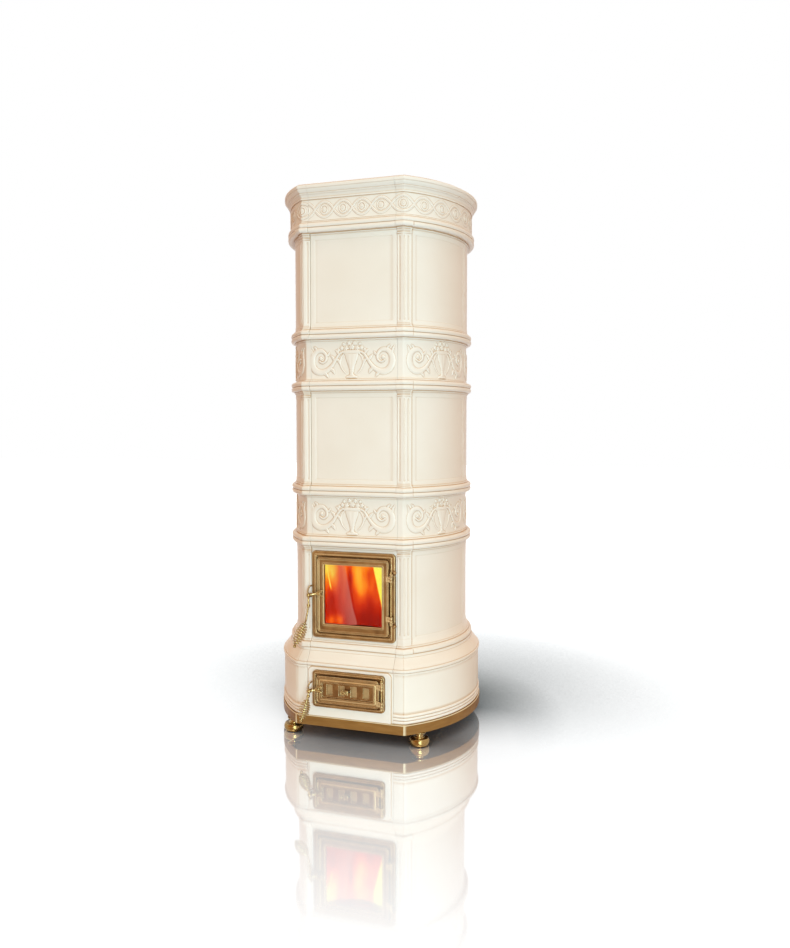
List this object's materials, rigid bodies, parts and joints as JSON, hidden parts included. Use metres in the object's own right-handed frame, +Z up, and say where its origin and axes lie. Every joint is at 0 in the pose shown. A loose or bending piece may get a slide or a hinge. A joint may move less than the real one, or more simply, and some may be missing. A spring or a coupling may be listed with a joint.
{
  "type": "tiled stove",
  "caption": "Tall bow-sided stove of glazed tiles on a gilt plinth with turned feet, with a glazed fire door, a vented ash door, coil-handled latches and a rear flue collar.",
  "frame": {"origin": "on the floor, under the middle of the whole stove's bounding box", "axes": "+Z up, -Y out of the front with the doors, +X to the right as seen from the front"},
  "size_m": [0.7674, 0.8318, 2],
  "materials": {
    "glazed_tile": "cream glaze, glossy, warm white with fine crazing",
    "antique_brass": "cast, patinated, satin",
    "polished_brass": "polished",
    "gilt_steel": "gold-brown metallic paint, gloss",
    "back_enamel": "satin cream paint on sheet steel",
    "firebox_steel": "heat-dulled sheet steel",
    "cast_iron": "as cast, sooty",
    "fireclay": "pressed fireclay, dry and matt",
    "fire_glass": "clear glass ceramic",
    "rope_seal": "braided glass rope"
  },
  "bodies": {
    "stove": {"ash_door_frame": "antique_brass", "ash_hinge_pin": "polished_brass", "ash_pan": "firebox_steel", "back_panel": "back_enamel", "baffle_plate": "fireclay", "base_front": "glazed_tile", "base_left": "glazed_tile", "base_right": "glazed_tile", "cap_front": "glazed_tile", "cap_left": "glazed_tile", "cap_right": "glazed_tile", "cornice_front": "glazed_tile", "cornice_left": "glazed_tile", "cornice_right": "glazed_tile", "fire_door_frame": "antique_brass", "fire_hinge_pin": "polished_brass", "firebox_front": "glazed_tile", "firebox_left": "glazed_tile", "firebox_right": "glazed_tile", "firebox_shell": "firebox_steel", "flue_collar": "firebox_steel", "foot_front_left": "polished_brass", "foot_front_right": "polished_brass", "foot_rear_left": "polished_brass", "foot_rear_right": "polished_brass", "grate": "cast_iron", "hearth_slab": "fireclay", "heat_store_lower": "fireclay", "heat_store_upper": "fireclay", "lining_left": "fireclay", "lining_rear": "fireclay", "lining_right": "fireclay", "lower_frieze_front": "glazed_tile", "lower_frieze_left": "glazed_tile", "lower_frieze_right": "glazed_tile", "middle_front": "glazed_tile", "middle_left": "glazed_tile", "middle_right": "glazed_tile", "plinth": "gilt_steel", "smoke_collector": "fireclay", "top_lid": "glazed_tile", "upper_frieze_front": "glazed_tile", "upper_frieze_left": "glazed_tile", "upper_frieze_right": "glazed_tile", "upper_front": "glazed_tile", "upper_left": "glazed_tile", "upper_right": "glazed_tile"},
    "fire_door": {"fire_door_leaf": "antique_brass", "fire_door_seal": "rope_seal", "fire_door_glass": "fire_glass", "fire_glass_retainer": "firebox_steel", "fire_latch_pivot": "polished_brass"},
    "fire_latch": {"fire_latch": "polished_brass", "fire_latch_grip": "polished_brass"},
    "ash_door": {"ash_door_leaf": "antique_brass", "ash_latch_pivot": "polished_brass"},
    "ash_latch": {"ash_latch": "polished_brass", "ash_latch_grip": "polished_brass"},
    "vent": {"vent_slide": "antique_brass", "vent_knob": "polished_brass"}
  },
  "joints": [
    {"name": "fire_door_hinge", "type": "hinge", "parent": "stove", "child": "fire_door", "pos_m": [0.15, -0.29606, 0.52804], "axis": [0, 0, 1], "range_deg": [0, 120]},
    {"name": "fire_latch_pivot_joint", "type": "hinge", "parent": "fire_door", "child": "fire_latch", "pos_m": [-0.127, -0.29376, 0.532], "axis": [0, 1, 0], "range_deg": [0, 70]},
    {"name": "ash_door_hinge", "type": "hinge", "parent": "stove", "child": "ash_door", "pos_m": [0.1325, -0.35006, 0.19454], "axis": [0, 0, 1], "range_deg": [0, 120]},
    {"name": "ash_latch_pivot_joint", "type": "hinge", "parent": "ash_door", "child": "ash_latch", "pos_m": [-0.1095, -0.34776, 0.194], "axis": [0, 1, 0], "range_deg": [0, 70]},
    {"name": "vent_slide_joint", "type": "slide", "parent": "ash_door", "child": "vent", "axis": [1, 0, 0], "range_m": [0, 0.015]}
  ]
}
